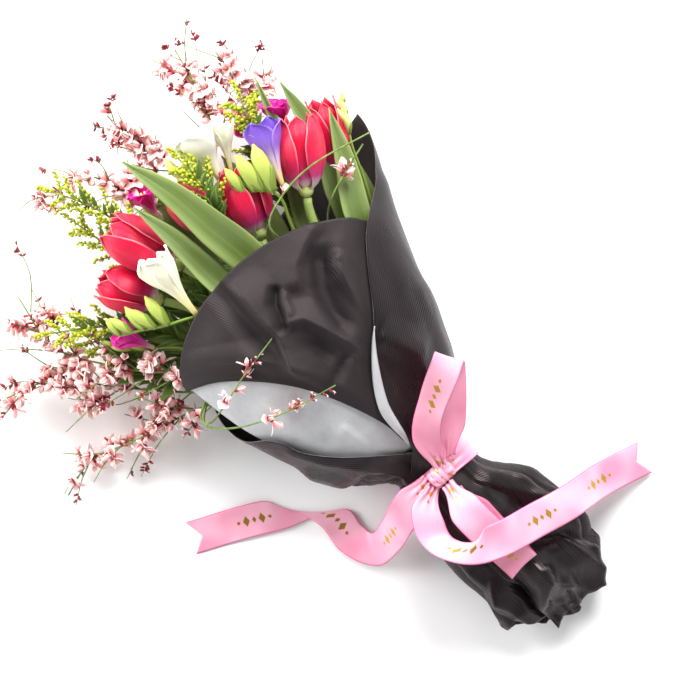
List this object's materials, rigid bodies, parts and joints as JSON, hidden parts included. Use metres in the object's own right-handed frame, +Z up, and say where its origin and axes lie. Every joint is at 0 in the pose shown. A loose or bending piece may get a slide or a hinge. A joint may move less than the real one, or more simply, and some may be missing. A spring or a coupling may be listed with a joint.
{
  "type": "mixed flower bouquet",
  "caption": "Mixed bouquet lying down: crimson tulips, freesias, goldenrod and pink broom in a black and grey paper wrapper, tied at its waist with a pink satin ribbon bow.",
  "frame": {"origin": "middle of the footprint on the surface that the bunch lies on", "axes": "+X from the folded paper foot towards the blooms, +Y to the bunch's left seen along +X, +Z up"},
  "size_m": [0.51, 0.3548, 0.1087],
  "materials": {
    "black_wrapping_paper": "coated satin paper with fine ribs",
    "grey_wrapping_paper": "pearly satin tissue",
    "satin_ribbon": "pale pink satin with plain gold dots",
    "tulip_petal": "silky crimson petals with pale margins",
    "tulip_green": "glaucous green",
    "freesia_green": "fresh green with waxy buds",
    "freesia_white_petal": "waxy white",
    "freesia_cream_petal": "waxy cream",
    "freesia_purple_petal": "waxy violet",
    "freesia_magenta_petal": "waxy magenta",
    "goldenrod": "matt yellow-green flower heads",
    "broom": "matt pink pea flowers on dark green twigs"
  },
  "bodies": {
    "root": {"wrapper_outer": "black_wrapping_paper", "wrapper_front_sheet": "black_wrapping_paper", "wrapper_liner": "grey_wrapping_paper", "ribbon_band": "satin_ribbon", "ribbon_knot": "satin_ribbon", "ribbon_upper_loop": "satin_ribbon", "ribbon_lower_loop": "satin_ribbon", "ribbon_right_tail": "satin_ribbon", "ribbon_left_tail": "satin_ribbon", "tulip_1_bloom": "tulip_petal", "tulip_1_stem": "tulip_green", "tulip_2_bloom": "tulip_petal", "tulip_2_stem": "tulip_green", "tulip_3_bloom": "tulip_petal", "tulip_3_stem": "tulip_green", "tulip_4_bloom": "tulip_petal", "tulip_4_stem": "tulip_green", "tulip_5_bloom": "tulip_petal", "tulip_5_stem": "tulip_green", "tulip_6_bloom": "tulip_petal", "tulip_6_stem": "tulip_green", "freesia_white_stem": "freesia_green", "freesia_purple_stem": "freesia_green", "freesia_cream_stem": "freesia_green", "freesia_right_stem": "freesia_green", "freesia_middle_stem": "freesia_green", "freesia_left_stem": "freesia_green", "freesia_edge_stem": "freesia_green", "freesia_white_bloom": "freesia_white_petal", "freesia_white_side_bloom": "freesia_cream_petal", "freesia_purple_bloom": "freesia_purple_petal", "freesia_cream_bloom": "freesia_cream_petal", "freesia_magenta_1_bloom": "freesia_magenta_petal", "freesia_magenta_2_bloom": "freesia_magenta_petal", "freesia_magenta_3_bloom": "freesia_magenta_petal", "freesia_magenta_4_bloom": "freesia_magenta_petal", "goldenrod_1": "goldenrod", "goldenrod_2": "goldenrod", "goldenrod_3": "goldenrod", "goldenrod_4": "goldenrod", "goldenrod_5": "goldenrod", "goldenrod_6": "goldenrod", "broom_1": "broom", "broom_2": "broom", "broom_3": "broom", "broom_4": "broom", "broom_5": "broom", "broom_6": "broom", "broom_7": "broom", "broom_8": "broom", "broom_9": "broom"}
  },
  "joints": []
}
